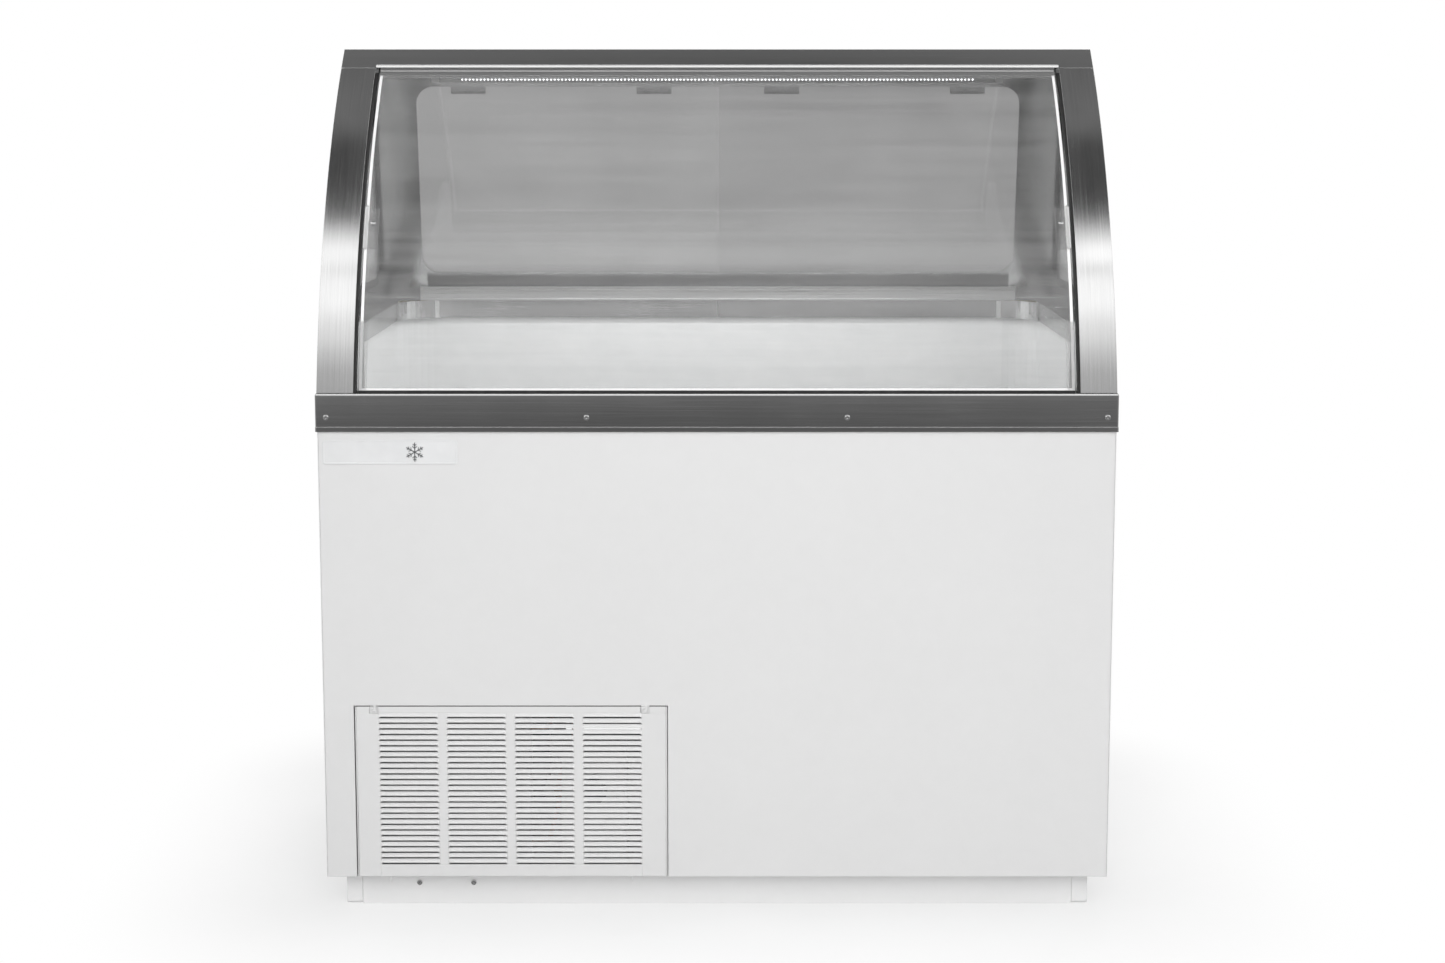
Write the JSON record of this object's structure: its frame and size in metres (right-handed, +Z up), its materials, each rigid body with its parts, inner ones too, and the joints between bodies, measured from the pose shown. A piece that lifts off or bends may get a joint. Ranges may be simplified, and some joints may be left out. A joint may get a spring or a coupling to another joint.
{
  "type": "ice cream dipping cabinet",
  "caption": "Ice cream dipping cabinet: white body on a low base, empty stepped well, curved lift-up front glass between steel end frames, clear flip-up rear lids, louvred front grille.",
  "frame": {"origin": "on the floor under the centre of the overall box", "axes": "+X along the length to the right as the customers' side is seen, +Y towards the server's side at the back, +Z up"},
  "size_m": [1.205, 0.705, 1.322],
  "materials": {
    "white_paint": "semi-gloss white powder coat",
    "galvanised_sheet": "dull zinc grey",
    "foam": "rigid foam, matt",
    "white_plastic": "satin white",
    "copper": "satin copper",
    "stainless": "brushed along its length",
    "polished_steel": "polished",
    "aluminium": "satin",
    "name_plate": "gloss",
    "black_rubber": "matt",
    "glass": "clear",
    "led": "lit strip of lamps",
    "black_plastic": "satin black",
    "clear_plastic": "clear acrylic",
    "grey_plastic": "satin dark grey",
    "black_paint": "semi-gloss black"
  },
  "bodies": {
    "cabinet": {"base_rails": "white_paint", "front_panel": "white_paint", "side_panel_left": "white_paint", "side_panel_right": "white_paint", "bottom_pan": "galvanised_sheet", "rear_panel": "galvanised_sheet", "compartment_lining": "galvanised_sheet", "fan_shroud": "galvanised_sheet", "control_box": "galvanised_sheet", "insulation": "foam", "liner": "white_plastic", "drain_tube": "white_plastic", "evaporator_coil": "copper", "refrigerant_pipes": "copper", "front_sill": "stainless", "trim_band_front": "stainless", "trim_band_sides": "stainless", "breaker_strip_left": "stainless", "breaker_strip_right": "stainless", "side_decks": "stainless", "rear_ledge": "stainless", "end_frame_left": "stainless", "end_frame_right": "stainless", "top_cap": "stainless", "rear_frame": "stainless", "breaker_corner_caps": "polished_steel", "panel_screws": "polished_steel", "lid_hinge_bases": "polished_steel", "lid_hinge_pins": "polished_steel", "rear_rail": "aluminium", "glass_hinge_rail": "aluminium", "led_housing": "aluminium", "condenser": "aluminium", "name_plate": "name_plate", "side_glass_gaskets": "black_rubber", "glass_seals": "black_rubber", "lid_bumpers": "black_rubber", "compressor_feet": "black_rubber", "side_glasses": "glass", "led_strip": "led", "light_switch_bezel": "black_plastic", "cord_gland": "black_plastic", "compressor": "black_paint", "fan_motor": "black_paint"},
    "glass_sash": {"front_glass": "glass", "glass_hinge_clamp": "aluminium", "glass_edge_guards": "clear_plastic", "glass_clips": "clear_plastic", "glass_clip_screws": "polished_steel"},
    "lid_left": {"lid_left_panel": "clear_plastic", "lid_left_grip": "grey_plastic", "lid_left_hinge_leaves": "polished_steel"},
    "lid_right": {"lid_right_panel": "clear_plastic", "lid_right_grip": "grey_plastic", "lid_right_hinge_leaves": "polished_steel"},
    "grille": {"grille_panel": "white_paint"},
    "fan": {"fan_blade": "aluminium"},
    "thermostat": {"thermostat_knob": "black_plastic"},
    "light_switch": {"light_switch_rocker": "black_plastic"},
    "plug": {"drain_plug": "black_rubber"}
  },
  "joints": [
    {"name": "glass_lift", "type": "hinge", "parent": "cabinet", "child": "glass_sash", "pos_m": [0, -0.07187, 1.286], "axis": [-1, 0, 0], "range_deg": [0, 60]},
    {"name": "lid_left_hinge", "type": "hinge", "parent": "cabinet", "child": "lid_left", "pos_m": [-0.27, 0.19571, 1.29442], "axis": [1, 0, 0], "range_deg": [0, 180]},
    {"name": "lid_right_hinge", "type": "hinge", "parent": "cabinet", "child": "lid_right", "pos_m": [0.27, 0.19571, 1.29442], "axis": [1, 0, 0], "range_deg": [0, 180]},
    {"name": "grille_lift_off", "type": "slide", "parent": "cabinet", "child": "grille", "axis": [0, -1, 0], "range_m": [0, 0.12]},
    {"name": "fan_spin", "type": "hinge", "parent": "cabinet", "child": "fan", "pos_m": [-0.415, -0.231, 0.185], "axis": [0, 1, 0], "continuous": true},
    {"name": "thermostat_turn", "type": "hinge", "parent": "cabinet", "child": "thermostat", "pos_m": [-0.19, -0.323, 0.18], "axis": [0, 1, 0], "range_deg": [0, 270]},
    {"name": "light_switch_rock", "type": "hinge", "parent": "cabinet", "child": "light_switch", "pos_m": [0.56, 0.20364, 1.22068], "axis": [-1, 0, 0], "range_deg": [0, 16]},
    {"name": "drain_plug_pull", "type": "slide", "parent": "cabinet", "child": "plug", "axis": [0, 0, 1], "range_m": [0, 0.06]}
  ]
}
